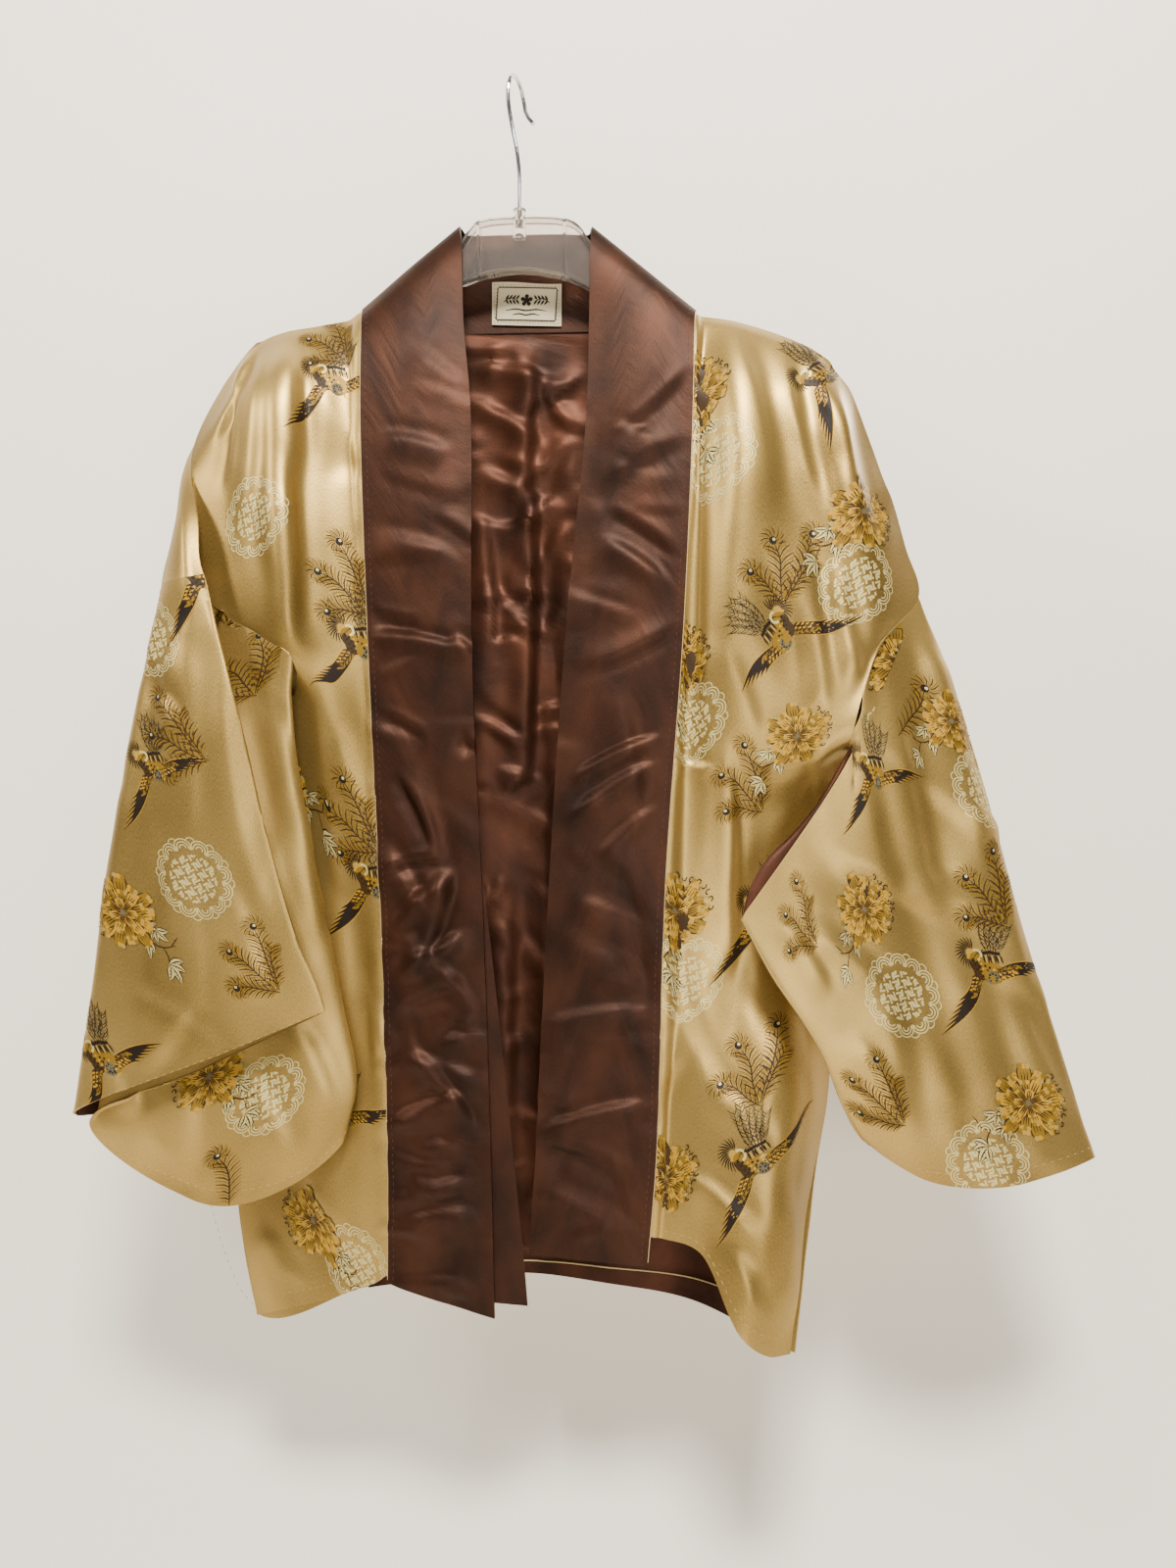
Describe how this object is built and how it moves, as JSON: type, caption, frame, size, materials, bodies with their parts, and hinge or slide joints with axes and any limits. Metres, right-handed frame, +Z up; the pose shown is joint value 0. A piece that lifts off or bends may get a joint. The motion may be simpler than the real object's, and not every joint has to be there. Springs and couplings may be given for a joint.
{
  "type": "kimono robe on clear hanger",
  "caption": "Gold brocade kimono jacket with a brown satin collar band and lining, hung on a clear hanger with a wire hook.",
  "frame": {"origin": "underside of the hook's bend, where the rail bears", "axes": "+Z up the hanging length, +X to the wearer's left, the front faces -Y"},
  "size_m": [0.6942, 0.0993, 0.8903],
  "materials": {
    "brocade": "satin",
    "satin": "satin",
    "label_cloth": "matte",
    "clear_plastic": "gloss",
    "hook_wire": "gloss"
  },
  "bodies": {
    "root": {"front_right": "brocade", "front_left": "brocade", "back_panel": "brocade", "sleeve_right": "brocade", "sleeve_left": "brocade", "collar_band": "satin", "lining_back": "satin", "lining_front": "satin", "lining_sleeve_right": "satin", "lining_sleeve_left": "satin", "label": "label_cloth", "hanger_body": "clear_plastic", "hanger_hook": "hook_wire"}
  },
  "joints": []
}
